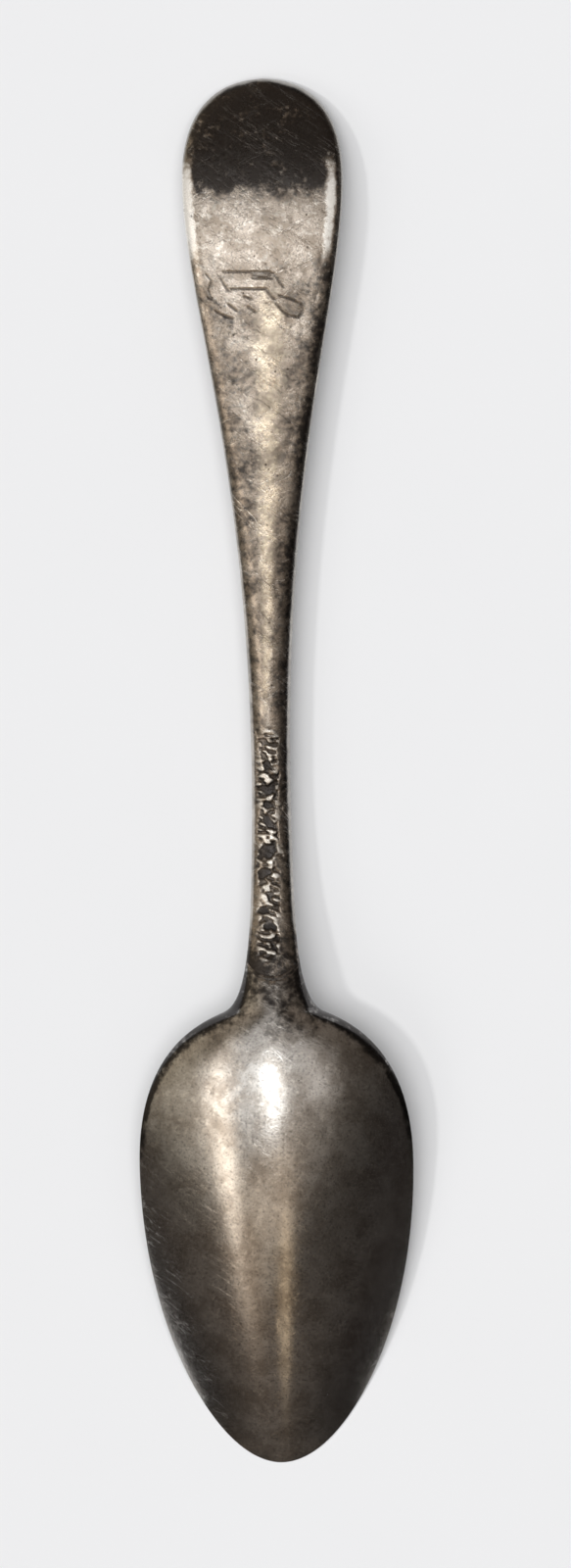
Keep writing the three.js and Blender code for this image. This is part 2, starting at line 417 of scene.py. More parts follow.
def strike_cut(across, along):
    """Depth of the struck band, from 0 to 1, and how much of each point stands up bright."""
    deep, bright = np.zeros(across.shape), np.zeros(across.shape)
    near = (along > BAND[0] - 1.5) & (along < BAND[1] + 1.5) & (np.abs(across) < 2.4)
    x, y = across[near], along[near]
    ragged = unevenness(x, y, 0.8, 21.0)
    strip = 1 - smoothstep(np.abs(x + 0.35) + 0.7 * ragged, 0.85, 1.35)
    strip *= smoothstep(y + 1.2 * ragged, BAND[0] - BAND_FADE, BAND[0] + 0.4)
    strip *= 1 - smoothstep(y + 1.2 * ragged, BAND[1] - 0.4, BAND[1] + BAND_FADE)
    bars = unevenness(x * 0.5 + 0.25 * y, y * 1.6, 0.42, 33.0)
    sunk = 0.8 * strip * (1 - smoothstep(bars, -0.2, 0.1))
    lit = strip * smoothstep(bars, 0.0, 0.25)
    for middle, long, half, aside in BLOTS:
        u, v = (x - aside) / half, (y - middle) / (long / 2)
        blot = 1 - smoothstep(np.hypot(u, v) + 1.1 * ragged + 0.5 * bars, 0.7, 1.2)
        sunk, lit = np.maximum(sunk, blot), lit * (1 - blot)
    deep[near], bright[near] = sunk, lit
    return deep, bright


def knocks(across, along, seed, count, span, depth):
    """Small dents from years of use. span is (from, to, half the width), in millimetres."""
    draw = np.random.default_rng(seed)
    dents = np.zeros(across.shape)
    for _ in range(count):
        x = draw.uniform(-1, 1) * span[2]
        y = draw.uniform(span[0], span[1])
        size = draw.uniform(0.16, 0.5)
        deep = draw.uniform(0.3, 1.0) * depth
        long = draw.uniform(1.0, 2.6)
        away = ((across - x) / size) ** 2 + ((along - y) / (size * long)) ** 2
        dents += deep * np.exp(-away)
    return dents


# ---------------------------------------------------------------- meshes


def spread(count, edge_share=0.5):
    """Places from 1 to -1 across a section, closer together towards its edges."""
    t = np.linspace(1, -1, count + 1)
    return mix(t, np.sin(t * math.pi / 2), edge_share)


def loft(shape, places, back_columns, front_columns, hollowed, depth):
    """Points of the spoon's skin, one closed ring at each place. depth(across, along) is how
    far the back is cut in. Returns (rings, points, 3) in millimetres."""
    half, along = places[:, 0:1], places[:, 1:2]
    back = spread(back_columns) * half
    y = np.broadcast_to(along, back.shape)
    gap = shape.to_edge(back, y)
    edge, ridge, front = shape.edge(along), shape.on(shape.ridge, along), shape.front(along)
    back_z = edge + (ridge - edge) * shape.rise(back, half, y, gap) - depth(back, y)

    if hollowed:
        mouth = shape.mouth(along)
        guide = np.maximum(mouth, 0.55 * half * smoothstep(along, 0, 3))
        guide = np.minimum(guide, half * 0.96)
        land = np.linspace(0, 1, 8)[1:-1]
        inner = np.sin(np.linspace(-1, 1, front_columns + 1) * math.pi / 2)
        x = np.concatenate([
            -half + (half - guide) * land, guide * inner, guide + (half - guide) * land,
        ], axis=1)
    else:
        x = -spread(front_columns)[1:-1] * half
    y_front = np.broadcast_to(along, x.shape)
    gap = shape.to_edge(x, y_front)
    front_z = edge - (edge - front) * shape.rim_rise(x, half, y_front, gap)
    if hollowed:
        front_z = soft_max(front_z, shape.hollow(x, y_front), blend=0.1)
    rows = np.concatenate([
        np.stack([back, y, back_z], axis=2),
        np.stack([x, y_front, front_z], axis=2),
    ], axis=1)
    rows[:, :, 1] -= shape.end / 2
    return rows


def soft_max(a, b, blend):
    """The higher of two surfaces, with the corner between them eased."""
    return (a + b + np.sqrt((a - b) ** 2 + blend**2)) / 2 - blend / 2


def mesh_of(name, rows, first_is_point, last_is_point):
    """A mesh through the rings. An end that is a point becomes one vertex."""
    rings, around = rows.shape[:2]
    inner = rows[1 if first_is_point else 0:rings - 1 if last_is_point else rings]
    points = [inner.reshape(-1, 3)]
    count = len(inner) * around
    i = np.arange(len(inner) - 1)[:, None] * around
    j = np.arange(around)[None]
    following = (j + 1) % around
    quads = np.stack([i + j, i + following, i + around + following, i + around + j], axis=2)
    faces = quads.reshape(-1, 4).tolist()
    if first_is_point:
        points.append(rows[0, :1])
        faces += [[count, k, (k + 1) % around] for k in range(around)]
        count += 1
    if last_is_point:
        points.append(rows[-1, :1])
        start = (len(inner) - 1) * around
        faces += [[count, start + (k + 1) % around, start + k] for k in range(around)]
    mesh = bpy.data.meshes.new(name)
    mesh.from_pydata((np.concatenate(points) * MM).tolist(), [], faces)
    return mesh


def slice_off(mesh, point, direction):
    """Cuts the mesh with a plane, drops what lies along the direction and closes the cut."""
    work = bmesh.new()
    work.from_mesh(mesh)
    everything = work.verts[:] + work.edges[:] + work.faces[:]
    cut = bmesh.ops.bisect_plane(
        work, geom=everything, plane_co=point, plane_no=direction, clear_outer=True, dist=1e-8
    )
    rim = [g for g in cut["geom_cut"] if isinstance(g, bmesh.types.BMEdge)]
    bmesh.ops.edgenet_fill(work, edges=rim)
    work.to_mesh(mesh)
    work.free()


def slice_at_joint(mesh, shape, offset, side):
    """Cuts the mesh along the slanted joint, moved square to it, and drops what lies past it
    towards the handle, if side is 1, or towards the bowl, if it is -1."""
    direction = Vector((0, math.cos(shape.slant), math.sin(shape.slant)))
    height = float(shape.middle(np.array([shape.joint]))[0])
    point = Vector((0, shape.joint - shape.end / 2, height)) + direction * offset
    slice_off(mesh, point * MM, direction * side)


def points_of(mesh, shape):
    """Across, along from the bowl's tip, and height of the mesh's points, in millimetres."""
    co = np.empty(len(mesh.vertices) * 3)
    mesh.vertices.foreach_get("co", co)
    co = co.reshape(-1, 3) / MM
    return co[:, 0], co[:, 1] + shape.end / 2, co[:, 2]


def store(mesh, name, values):
    """Keeps one number for each point, for the material to read."""
    stored = mesh.attributes.new(name, "FLOAT", "POINT")
    stored.data.foreach_set("value", values.astype(np.float32))


def note_edges(mesh, shape):
    """Stores how close each point is to the outline, for the wear along the edges."""
    across, along, _ = points_of(mesh, shape)
    reach = 0.5
    sheltered = smoothstep(along, 28, 36) * (1 - smoothstep(along, 54, 58))
    near = np.exp(-((shape.to_edge(across, along) / reach) ** 2))
    store(mesh, "edge", near * (1 - sheltered))


def finish_piece(context, name, mesh, shape, material, node):
    """Makes the mesh into a piece that stands for its CAD node."""
    work = bmesh.new()
    work.from_mesh(mesh)
    bmesh.ops.recalc_face_normals(work, faces=work.faces)
    work.to_mesh(mesh)
    work.free()
    note_edges(mesh, shape)
    mesh.polygons.foreach_set("use_smooth", [True] * len(mesh.polygons))
    mesh.set_sharp_from_angle(angle=SHARP)
    mesh.materials.append(material)
    piece = bpy.data.objects.new(name, mesh)
    context.scene.collection.objects.link(piece)
    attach(piece, "root")
    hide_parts(node)


# ---------------------------------------------------------------- shader helpers


def put(tree, kind, links=None, **settings):
    """Adds a node, sets its settings, and links or sets its inputs by name or number."""
    node = tree.nodes.new(kind)
    for key, value in settings.items():
        setattr(node, key, value)
    for key, value in (links or {}).items():
        socket = node.inputs[key]
        if isinstance(value, bpy.types.NodeSocket):
            tree.links.new(value, socket)
        else:
            socket.default_value = value
    return node


def calc(tree, operation, *values, clamp=False):
    return put(
        tree, "ShaderNodeMath", dict(enumerate(values)), operation=operation, use_clamp=clamp
    ).outputs[0]


def times(tree, first, second):
    return calc(tree, "MULTIPLY", first, second)


def blend_colour(tree, factor, low, high):
    return put(
        tree, "ShaderNodeMix", {0: factor, 6: low, 7: high}, data_type="RGBA", blend_type="MIX"
    ).outputs[2]


def ramp(tree, value, low, high, to_low=0.0, to_high=1.0):
    return put(
        tree, "ShaderNodeMapRange", {0: value, 1: low, 2: high, 3: to_low, 4: to_high},
        interpolation_type="SMOOTHSTEP",
    ).outputs[0]


def cloudy(tree, where, scale, detail, rough=0.5, twist=0.0):
    """Noise from 0 to 1."""
    return put(tree, "ShaderNodeTexNoise", {
        "Vector": where, "Scale": scale, "Detail": detail, "Roughness": rough,
        "Distortion": twist,
    }).outputs[0]


def rgba(colour):
    return (*colour, 1.0)


def new_group(name, inputs, outputs, kind="NodeSocketFloat"):
    """A shader node group. inputs gives each one's default, or its kind if it isn't a number.
    outputs are the names of what it puts out, all of one kind."""
    tree = bpy.data.node_groups.new(name, "ShaderNodeTree")
    for label, start in inputs.items():
        number = not isinstance(start, str)
        socket = tree.interface.new_socket(
            name=label, in_out="INPUT", socket_type="NodeSocketFloat" if number else start
        )
        if number:
            socket.default_value = start
    for label in outputs:
        tree.interface.new_socket(name=label, in_out="OUTPUT", socket_type=kind)
    into = tree.nodes.new("NodeGroupInput").outputs
    return tree, into, tree.nodes.new("NodeGroupOutput")


def use_group(tree, name, build, links):
    """Adds the named group, building it the first time, and returns what it puts out."""
    group = bpy.data.node_groups.get(name) or build()
    return put(tree, "ShaderNodeGroup", links, node_tree=group).outputs


def give(tree, out, values):
    """Links the values to a group's outputs of the same names."""
    for label, value in values.items():
        tree.links.new(value, out.inputs[label])


def new_material(name):
    """An empty material and its node tree."""
    material = bpy.data.materials.new(name)
    material.use_nodes = True
    material.node_tree.nodes.clear()
    return material, material.node_tree


def put_surface(tree, links):
    """The material's shader, linked to its output."""
    shader = put(tree, "ShaderNodeBsdfPrincipled", links)
    put(tree, "ShaderNodeOutputMaterial", {0: shader.outputs[0]})


VECTOR, COLOUR = "NodeSocketVector", "NodeSocketColor"


def scratches_group():
    """Fine straight scratches that run one way, at a given spacing and length."""
    tree, into, out = new_group("Scratches", {
        "Place": VECTOR, "Angle": 0.0, "Spacing": 0.4, "Length": 9.0, "Amount": 0.5, "Seed": 0.0,
    }, ("Mask", "Height"))
    turned = put(
        tree, "ShaderNodeVectorRotate",
        {"Vector": into["Place"], "Angle": into["Angle"]},
        rotation_type="Z_AXIS",
    ).outputs[0]
    wander = cloudy(tree, turned, 90.0, 1.0)
    axes = put(tree, "ShaderNodeSeparateXYZ", {0: turned}).outputs
    across = calc(tree, "DIVIDE", axes[1], times(tree, into["Spacing"], MM))
    across = calc(tree, "ADD", across, times(tree, wander, 0.9))
    along = calc(tree, "DIVIDE", axes[0], times(tree, into["Length"], MM))
    place = put(
        tree, "ShaderNodeCombineXYZ", {0: along, 1: across, 2: into["Seed"]}
    ).outputs[0]
    lines = cloudy(tree, place, 1.0, 2.0, 0.65)
    valley = calc(tree, "ABSOLUTE", calc(tree, "SUBTRACT", lines, 0.5))
    thin = ramp(tree, valley, 0.0, 0.035, 1.0, 0.0)
    broken = cloudy(tree, place, 0.55, 1.0)
    start = calc(tree, "SUBTRACT", 0.72, times(tree, into["Amount"], 0.36))
    mask = calc(tree, "MULTIPLY", thin, ramp(tree, broken, start, 0.74), clamp=True)
    give(tree, out, {"Mask": mask, "Height": times(tree, mask, -1.0)})
    return tree


def tarnish_group():
    """Cloudy tarnish in patches, with a fine grain over it."""
    tree, into, out = new_group("Tarnish", {
        "Place": VECTOR, "Patch": 5.0, "Amount": 0.5, "Seed": 0.0,
    }, ("Cloud", "Grain", "Speckle"))
    seed = put(tree, "ShaderNodeCombineXYZ", {2: into["Seed"]}).outputs[0]
    shift = put(
        tree, "ShaderNodeVectorMath", {0: into["Place"], 1: seed}, operation="ADD"
    ).outputs[0]
    cloud = cloudy(tree, shift, calc(tree, "DIVIDE", 1 / MM, into["Patch"]), 5.0, 0.62, 0.4)
    low = calc(tree, "SUBTRACT", 0.75, times(tree, into["Amount"], 0.5))
    cloud = ramp(tree, cloud, calc(tree, "SUBTRACT", low, 0.2), calc(tree, "ADD", low, 0.2))
    give(tree, out, {
        "Cloud": cloud,
        "Grain": cloudy(tree, shift, 3600.0, 3.0, 0.7),
        "Speckle": cloudy(tree, shift, 1500.0, 3.0, 0.6),
    })
    return tree


def pits_group():
    """Scattered small pits with soft edges."""
    tree, into, out = new_group("Pits", {
        "Place": VECTOR, "Spacing": 1.2, "Size": 0.12, "Share": 0.3,
    }, ("Mask", "Height"))
    scale = calc(tree, "DIVIDE", 1 / MM, into["Spacing"])
    cells = put(tree, "ShaderNodeTexVoronoi", {"Vector": into["Place"], "Scale": scale})
    reach = calc(tree, "DIVIDE", into["Size"], into["Spacing"])
    spot = ramp(tree, cells.outputs["Distance"], 0.0, reach, 1.0, 0.0)
    chosen = put(tree, "ShaderNodeSeparateColor", {0: cells.outputs["Color"]}).outputs[0]
    keep = calc(tree, "LESS_THAN", chosen, into["Share"])
    mask = times(tree, spot, keep)
    give(tree, out, {"Mask": mask, "Height": times(tree, mask, -1.0)})
    return tree


def wear_group():
    """Rubbed edges, broken up by noise so that the line of wear isn't even."""
    tree, into, out = new_group(
        "Edge Wear", {"Place": VECTOR, "Edge": 0.0, "Amount": 0.5}, ("Mask",)
    )
    uneven = calc(tree, "SUBTRACT", cloudy(tree, into["Place"], 700.0, 4.0), 0.5)
    worn = calc(tree, "ADD", into["Edge"], times(tree, uneven, 0.9))
    amount = into["Amount"]
    mask = calc(tree, "MULTIPLY", ramp(tree, worn, 0.35, 0.95), amount, clamp=True)
    give(tree, out, {"Mask": mask})
    return tree


# ---------------------------------------------------------------- the metal


# The three layers of scratches, as (angle in degrees, spacing and length as times the finest
# layer's, the look's value for their amount, shift of the seed).
SCRATCH_LAYERS = (
    (35, 1.0, 1.0, "scratched", 1.3),
    (48, 2.6, 2.4, "long", 4.1),
    (-24, 2.1, 1.3, "long", 7.7),
)
BUMP_DEPTH = 0.02 * MM


def silver_material(name, finish, look):
    """Tarnished silver: clouds of brown over grey metal, scratches, pits and worn edges,
    with painted highlights, a painted reflection and painted shade where the piece stores them.
    """
    material, tree = new_material(name)
    place = put(tree, "ShaderNodeTexCoord").outputs["Object"]
    # The stored marks: edge wear, cut lines, a painted highlight along the crown, painted
    # highlights on the band, tarnish with painted shade, and worn bevels with a painted
    # reflection.
    edge, cut, crown_highlight, lit, soot_and_shade, bevel_wear_and_glint = (
        put(tree, "ShaderNodeAttribute", attribute_name=stored).outputs["Fac"]
        for stored in ("edge", "cut", "crown_highlight", "lit", "soot_and_shade", "bevel_wear_and_glint")
    )

    tarnish = use_group(tree, "Tarnish", tarnish_group, {
        "Place": place, "Patch": look["patch"], "Amount": look["tarnish"], "Seed": look["seed"],
    })
    cloud, grain, speckle = tarnish["Cloud"], tarnish["Grain"], tarnish["Speckle"]
    fine, long, crossing = (
        use_group(tree, "Scratches", scratches_group, {
            "Place": place, "Angle": math.radians(turn), "Spacing": look["fine"] * apart,
            "Length": look["reach"] * longer, "Amount": look[amount], "Seed": look["seed"] + shift,
        })
        for turn, apart, longer, amount, shift in SCRATCH_LAYERS
    )
    pits = use_group(tree, "Pits", pits_group, {
        "Place": place, "Spacing": look["pit_spacing"], "Size": look["pit_size"],
        "Share": look["pitted"],
    })
    wear = use_group(tree, "Edge Wear", wear_group, {
        "Place": place, "Edge": edge, "Amount": finish.wear * look["worn"],
    })["Mask"]

    def ragged(mask, noisy, low, high, full):
        """The noisy mask, with nothing of it where the stored mask is 0."""
        return times(tree, ramp(tree, noisy, low, high), ramp(tree, mask, 0.0, full))

    def lay(colour, amount):
        """The base colour so far, with another laid over it."""
        return blend_colour(tree, amount, base, rgba(colour))

    base = blend_colour(tree, cloud, rgba(finish.dull_silver), rgba(finish.tarnish))
    base = lay(finish.brown, look["brown"])
    base = lay(finish.silver, times(tree, ramp(tree, speckle, 0.5, 0.72), look["fleck"]))
    base = lay(finish.soot_and_shade, times(tree, ramp(tree, grain, 0.5, 0.28), look["grain"]))
    scratched = calc(tree, "MAXIMUM", fine["Mask"], long["Mask"])
    scratched = calc(tree, "MAXIMUM", scratched, crossing["Mask"])
    base = lay(finish.silver, times(tree, scratched, look["scratch_shine"]))
    uneven = calc(tree, "MULTIPLY_ADD", speckle, 1.6, -0.8)
    patchy = calc(tree, "MULTIPLY_ADD", cloud, 0.5, -0.25)
    # Black where the stored mask asks for it: tarnish, and painted shade over the handle's end,
    # sides and right edge and the bowl's shoulders.
    black = calc(tree, "ADD", soot_and_shade, calc(tree, "ADD", uneven, patchy))
    black = ragged(soot_and_shade, black, 0.28, 0.95, 0.2)
    base = lay(finish.soot_and_shade, times(tree, black, 0.93))
    # A golden painted highlight along the handle's crown.
    rubbed = calc(tree, "SUBTRACT", calc(tree, "ADD", crown_highlight, uneven), times(tree, patchy, 0.8))
    rubbed = ragged(crown_highlight, rubbed, 0.2, 1.0, 0.3)
    base = lay(finish.golden, times(tree, rubbed, 0.62))
    # Silver on the end's bevels, worn bright and with a painted reflection on them, on the band's
    # raised bits as painted highlights, and on the worn edges.
    shining = calc(tree, "SUBTRACT", calc(tree, "ADD", bevel_wear_and_glint, uneven), patchy)
    shining = ragged(bevel_wear_and_glint, shining, 0.25, 1.0, 0.3)
    worn = calc(tree, "MAXIMUM", times(tree, lit, 0.9), wear)
    base = lay(finish.silver, calc(tree, "MAXIMUM", shining, worn))
    base = lay(finish.soot_and_shade, times(tree, pits["Mask"], 0.85))
    base = lay(finish.soot_and_shade, times(tree, cut, 0.96))

    rough = calc(tree, "MULTIPLY_ADD", cloud, look["rough_tarnish"], look["rough"])
    rough = calc(tree, "MULTIPLY_ADD", grain, 0.12, rough)
    rough = calc(tree, "MULTIPLY_ADD", scratched, -0.08, rough)
    rough = calc(tree, "MULTIPLY_ADD", pits["Mask"], 0.3, rough, clamp=True)

    # The painted bevel reflection and band highlights lose some of their mirror and scatter light
    # instead.
    metal = 1.0
    if look["glare"]:
        scatter = calc(tree, "MAXIMUM", times(tree, bevel_wear_and_glint, shining), times(tree, lit, 0.4))
        metal = calc(tree, "MULTIPLY_ADD", scatter, -look["glare"], 1.0, clamp=True)

    height = calc(tree, "ADD", fine["Height"], long["Height"])
    height = calc(tree, "ADD", height, crossing["Height"])
    height = calc(tree, "MULTIPLY_ADD", pits["Height"], 2.0, height)
    height = calc(tree, "MULTIPLY_ADD", grain, look["tooth"], height)
    height = calc(tree, "MULTIPLY_ADD", speckle, look["tooth"], height)
    bump = put(tree, "ShaderNodeBump", {
        "Height": height, "Strength": look["bump"], "Distance": BUMP_DEPTH,
    }).outputs[0]

    put_surface(tree, {"Base Color": base, "Roughness": rough, "Metallic": metal, "Normal": bump})
    return material


# Each piece's look. Spacings, lengths and sizes are in millimetres, and the rest are shares,
# apart from the seed, tooth and bump. glare is how far the worn bevel with its painted reflection
# and the painted highlights of the band lose their mirror; a piece with none of these marks has 0.
BOWL_LOOK = dict(
    seed=2.0, patch=3.2, tarnish=0.5, fine=0.22, reach=1.8, scratched=0.75, long=0.1,
    pit_spacing=2.4, pit_size=0.16, pitted=0.2, worn=0.25, fleck=0.35, grain=0.5,
    scratch_shine=0.14, rough=0.07, rough_tarnish=0.06, tooth=1.3, bump=0.17, brown=0.08,
    glare=0.0,
)
HANDLE_LOOK = dict(
    seed=5.0, patch=3.4, tarnish=0.58, fine=0.34, reach=3.2, scratched=0.85, long=0.45,
    pit_spacing=1.1, pit_size=0.15, pitted=0.34, worn=0.8, fleck=0.45, grain=0.6,
    scratch_shine=0.6, rough=0.15, rough_tarnish=0.10, tooth=1.0, bump=0.7, brown=0.6,
    glare=0.55,
)
SEAM_LOOK = dict(
    seed=9.0, patch=2.0, tarnish=0.75, fine=0.30, reach=2.0, scratched=0.5, long=0.1,
    pit_spacing=0.8, pit_size=0.12, pitted=0.4, worn=0.0, fleck=0.2, grain=0.7,
    scratch_shine=0.0, rough=0.15, rough_tarnish=0.1, tooth=1.0, bump=0.15, brown=0.2,
    glare=0.0,
)


# ---------------------------------------------------------------- operators

RING_STEP = 0.42  # millimetres between rings where there is no fine detail


class SPOON_OT_bowl(bpy.types.Operator):
    """Build the bowl, with its hollow, worn rim and short shank"""

    bl_idname = "spoon.bowl"
    bl_label = "Bowl"

    def execute(self, context):
        scene = context.scene
        shape = SpoonShape(scene.spoon_sizes)
        seed = scene.spoon_stage.seed

        def pitch(along):
            at_shoulder = np.exp(-((along - shape.hollow_end + 1.2) / 2.0) ** 2)
            return RING_STEP - 0.26 * at_shoulder

        def depth(across, along):
            dents = knocks(across, along, seed + 3, count=60, span=(3, 46, 12), depth=0.022)
            waves = 0.018 * unevenness(across, along, size=4.5, seed=3.1)
            inward = smoothstep(shape.to_edge(across, along), 0, 1.5)
            return (dents + waves + 0.02) * inward

        places = shape.rings(0, shape.joint + 6, pitch)
        rows = loft(shape, places, 120, 96, hollowed=True, depth=depth)
        mesh = mesh_of("spoon_bowl", rows, first_is_point=True, last_is_point=False)
        slice_at_joint(mesh, shape, -(shape.s["solder"] / 2 + shape.s["joint_gap"]), 1)
        store_shoulder_shade(mesh, shape)
        material = silver_material("Smooth tarnished silver", scene.spoon_finish, BOWL_LOOK)
        finish_piece(context, "spoon_bowl", mesh, shape, material, "bowl")
        return {"FINISHED"}


def store_shoulder_shade(mesh, shape):
    """Stores painted shade along the bowl's shoulders and over its shank."""
    across, along, _ = points_of(mesh, shape)
    reach = 1 + 0.9 * smoothstep(along, 38, 44)
    gap = shape.to_edge(across, along) / reach
    edge = (1 - smoothstep(gap, 0.3, 0.9)) * smoothstep(along, 30, 38)
    shank = 0.6 * smoothstep(along, 41.5, 48.5)
    store(mesh, "soot_and_shade", np.maximum(edge, shank))


class SPOON_OT_handle(bpy.types.Operator):
    """Build the handle, with its turned end, engraved ribbon and struck stem"""

    bl_idname = "spoon.handle"
    bl_label = "Handle"

    def execute(self, context):
        scene = context.scene
        shape = SpoonShape(scene.spoon_sizes)
        seed = scene.spoon_stage.seed
        first, last = BAND[0] - BAND_FADE, BAND[1] + BAND_FADE

        def pitch(along):
            ribbon = smoothstep(along, 119.5, 120.5) * (1 - smoothstep(along, 125.8, 126.8))
            punches = smoothstep(along, first - 1, first) * (1 - smoothstep(along, last, last + 1))
            return RING_STEP - 0.32 * ribbon - 0.3 * punches

        def depth(across, along):
            cut = shape.s["engraving_depth"] * ribbon_cut(across, along)
            struck_in = shape.s["strike_depth"] * strike_cut(across, along)[0]
            dents = knocks(across, along, seed + 11, count=190, span=(56, 145, 8), depth=0.035)
            waves = 0.025 * unevenness(across, along, size=3.2, seed=8.4)
            inward = smoothstep(shape.to_edge(across, along), 0, 0.8)
            return (cut + struck_in + dents + waves + 0.025) * inward

        places = shape.rings(shape.joint - 5, shape.end, pitch)
        rows = loft(shape, places, 136, 40, hollowed=False, depth=depth)
        mesh = mesh_of("spoon_handle", rows, first_is_point=False, last_is_point=True)
        slice_at_joint(mesh, shape, shape.s["solder"] / 2 + shape.s["joint_gap"], -1)
        slice_off(mesh, Vector((0, 0, 0)), Vector((0, 0, -1)))
        store_marks(mesh, shape)
        material = silver_material("Scratched tarnished silver", scene.spoon_finish, HANDLE_LOOK)
        finish_piece(context, "spoon_handle", mesh, shape, material, "handle")
        return {"FINISHED"}


def store_marks(mesh, shape):
    """Stores where the handle is cut, where painted highlights and a painted reflection go, and
    where it is blackened by tarnish and painted shade, for its material.
    """
    across, along, height = points_of(mesh, shape)
    on_back = height > shape.middle(along)
    struck, standing = strike_cut(across, along)
    store(mesh, "cut", np.maximum(0.75 * ribbon_cut(across, along), struck) * on_back)
    store(mesh, "lit", standing * on_back)

    # A painted highlight along the crown of the handle, where its ridge catches the light.
    line = np.interp(along, (78, 92, 108, 124), (-0.4, -0.1, 0.4, 0.8))
    width = np.interp(along, (78, 92, 124), (0.5, 1.0, 2.6))
    fade = smoothstep(along, 74, 84) * (1 - smoothstep(along, 120, 128))
    store(mesh, "crown_highlight", 0.75 * np.exp(-(((across - line) / width) ** 2)) * fade * on_back)

    gap = shape.to_edge(across, along)
    # The end's bevelled edges: worn bright, with a painted reflection as a bright strip on each
    # side.
    left = 1.15 * (1 - smoothstep(gap, 0.7, 1.5))
    right = 1.05 * smoothstep(gap, 0.3, 1.0) * (1 - smoothstep(gap, 1.2, 2.1))
    lengthways = smoothstep(along, 123.5, 129) * (1 - smoothstep(along, 134.5, 140.5))
    bevel_wear_and_glint = np.where(across < 0, left, right) * lengthways
    store(mesh, "bevel_wear_and_glint", bevel_wear_and_glint)

    # Painted shade, darker towards both sides of the handle where its crowned back turns away.
    half = np.maximum(shape.on(shape.outline, along), 0.1)
    sides = np.clip(np.abs(across + 0.12 * half) / half, 0, 1) ** 2
    sides = 0.72 * sides * (1 - smoothstep(along, 124, 129))
    # Tarnish along the stem, with painted shade darker still next to the joint.
    overall = np.interp(along, (51, 53.5, 57, 105, 122, 130), (0.9, 0.8, 0.42, 0.44, 0.34, 0.0))
    # Painted shade along the handle's right edge.
    outside = 0.75 * (1 - smoothstep(gap, 0.3, 0.9)) * (across > 0)
    # Painted shade over the turned end, which mirrors the dark room, kept off the bevels.
    tip = smoothstep(along, 131.4, 135.6) * (1 - 0.8 * bevel_wear_and_glint)
    store(mesh, "soot_and_shade", np.maximum.reduce([tip, sides, overall, outside]))


class SPOON_OT_solder(bpy.types.Operator):
    """Build the film of solder in the slanted joint"""

    bl_idname = "spoon.solder"
    bl_label = "Solder seam"

    def execute(self, context):
        scene = context.scene
        shape = SpoonShape(scene.spoon_sizes)
        places = shape.rings(shape.joint - 6, shape.joint + 6, lambda along: 0.3 + 0 * along)
        rows = loft(shape, places, 60, 40, hollowed=False, depth=lambda across, along: 0.02)
        mesh = mesh_of("solder_line", rows, first_is_point=False, last_is_point=False)
        for side in (1, -1):
            slice_at_joint(mesh, shape, side * shape.s["solder"] / 2, side)
        store(mesh, "soot_and_shade", np.full(len(mesh.vertices), 0.6))
        material = silver_material("Solder", scene.spoon_finish, SEAM_LOOK)
        finish_piece(context, "solder_line", mesh, shape, material, "solder_seam")
        return {"FINISHED"}


class SPOON_OT_stage(bpy.types.Operator):
    """Lay the paper and set up the light and the camera"""

    bl_idname = "spoon.stage"
    bl_label = "Paper, light and camera"

    def execute(self, context):
        stage = context.scene.spoon_stage
        lay_paper(context, stage)
        light_room(context)
        place_camera(context, stage)
        context.scene.view_settings.view_transform = "Standard"
        return {"FINISHED"}


PAPER_HALF = 2.0  # metres, so that its edges stay out of every view
PAPER_DROP = 0.02 * MM  # how far it lies below the CAD's lowest point


def lay_paper(context, stage):
    """A wide sheet of pale paper with a faint tooth."""
    mesh = bpy.data.meshes.new("paper")
    corners = [
        (x * PAPER_HALF, y * PAPER_HALF, cad_box[0].z - PAPER_DROP)
        for x, y in ((-1, -1), (1, -1), (1, 1), (-1, 1))
    ]
    mesh.from_pydata(corners, [], [(0, 1, 2, 3)])
    material, tree = new_material("Pale paper")
    place = put(tree, "ShaderNodeTexCoord").outputs["Object"]
    shade = [c * 0.985 for c in stage.paper]
    base = blend_colour(tree, cloudy(tree, place, 60.0, 4.0), rgba(shade), rgba(stage.paper))
    put_surface(tree, {"Base Color": base, "Roughness": 0.9, "Specular IOR Level": 0.0})
    mesh.materials.append(material)
    paper = bpy.data.objects.new("paper", mesh)
    context.scene.collection.objects.link(paper)


# What the silver mirrors: soft glows and panels in a dark room, each at an angle off straight
# up, in degrees to the spoon's right and towards the end of its handle. Each is (across, along,
# width, length, hardness of its edge, light).
GLOWS = [
    (-33, -4, 5.5, 21, 2, (2.40, 2.12, 1.80)),
    (-40, -2, 10, 16, 2, (0.55, 0.49, 0.42)),
    (-23, 7, 13, 10, 2, (0.95, 0.96, 0.96)),
    (-15, -16, 12, 14, 2, (0.58, 0.49, 0.39)),
    (1, -8, 13, 13, 2, (0.62, 0.52, 0.42)),
    (-56, 4, 17, 20, 2, (0.44, 0.40, 0.34)),
    (-4, 9, 9, 6, 2, (1.60, 1.64, 1.64)),
    (-3, 7.5, 5, 5.5, 4, (3.6, 3.65, 3.65)),
    (-28, -30, 11, 13, 2, (0.36, 0.27, 0.19)),
    (5, -31, 4.5, 16, 2, (0.85, 0.65, 0.42)),
    (-72, 40, 38, 42, 2, (0.35, 0.30, 0.22)),
    (20, 4, 14, 16, 2, (0.26, 0.23, 0.20)),
    (38, 16, 20, 36, 2, (0.07, 0.06, 0.05)),
    (-20, -48, 60, 26, 2, (0.14, 0.115, 0.095)),
    (-10, 60, 60, 30, 2, (0.36, 0.29, 0.23)),
    (-4, 13.0, 38, 9.5, 10, (0.48, 0.465, 0.45)),
]
ROOM = (0.032, 0.029, 0.027)
EVEN_LIGHT, EVEN_STRENGTH = (0.985, 0.99, 1.0), 0.2

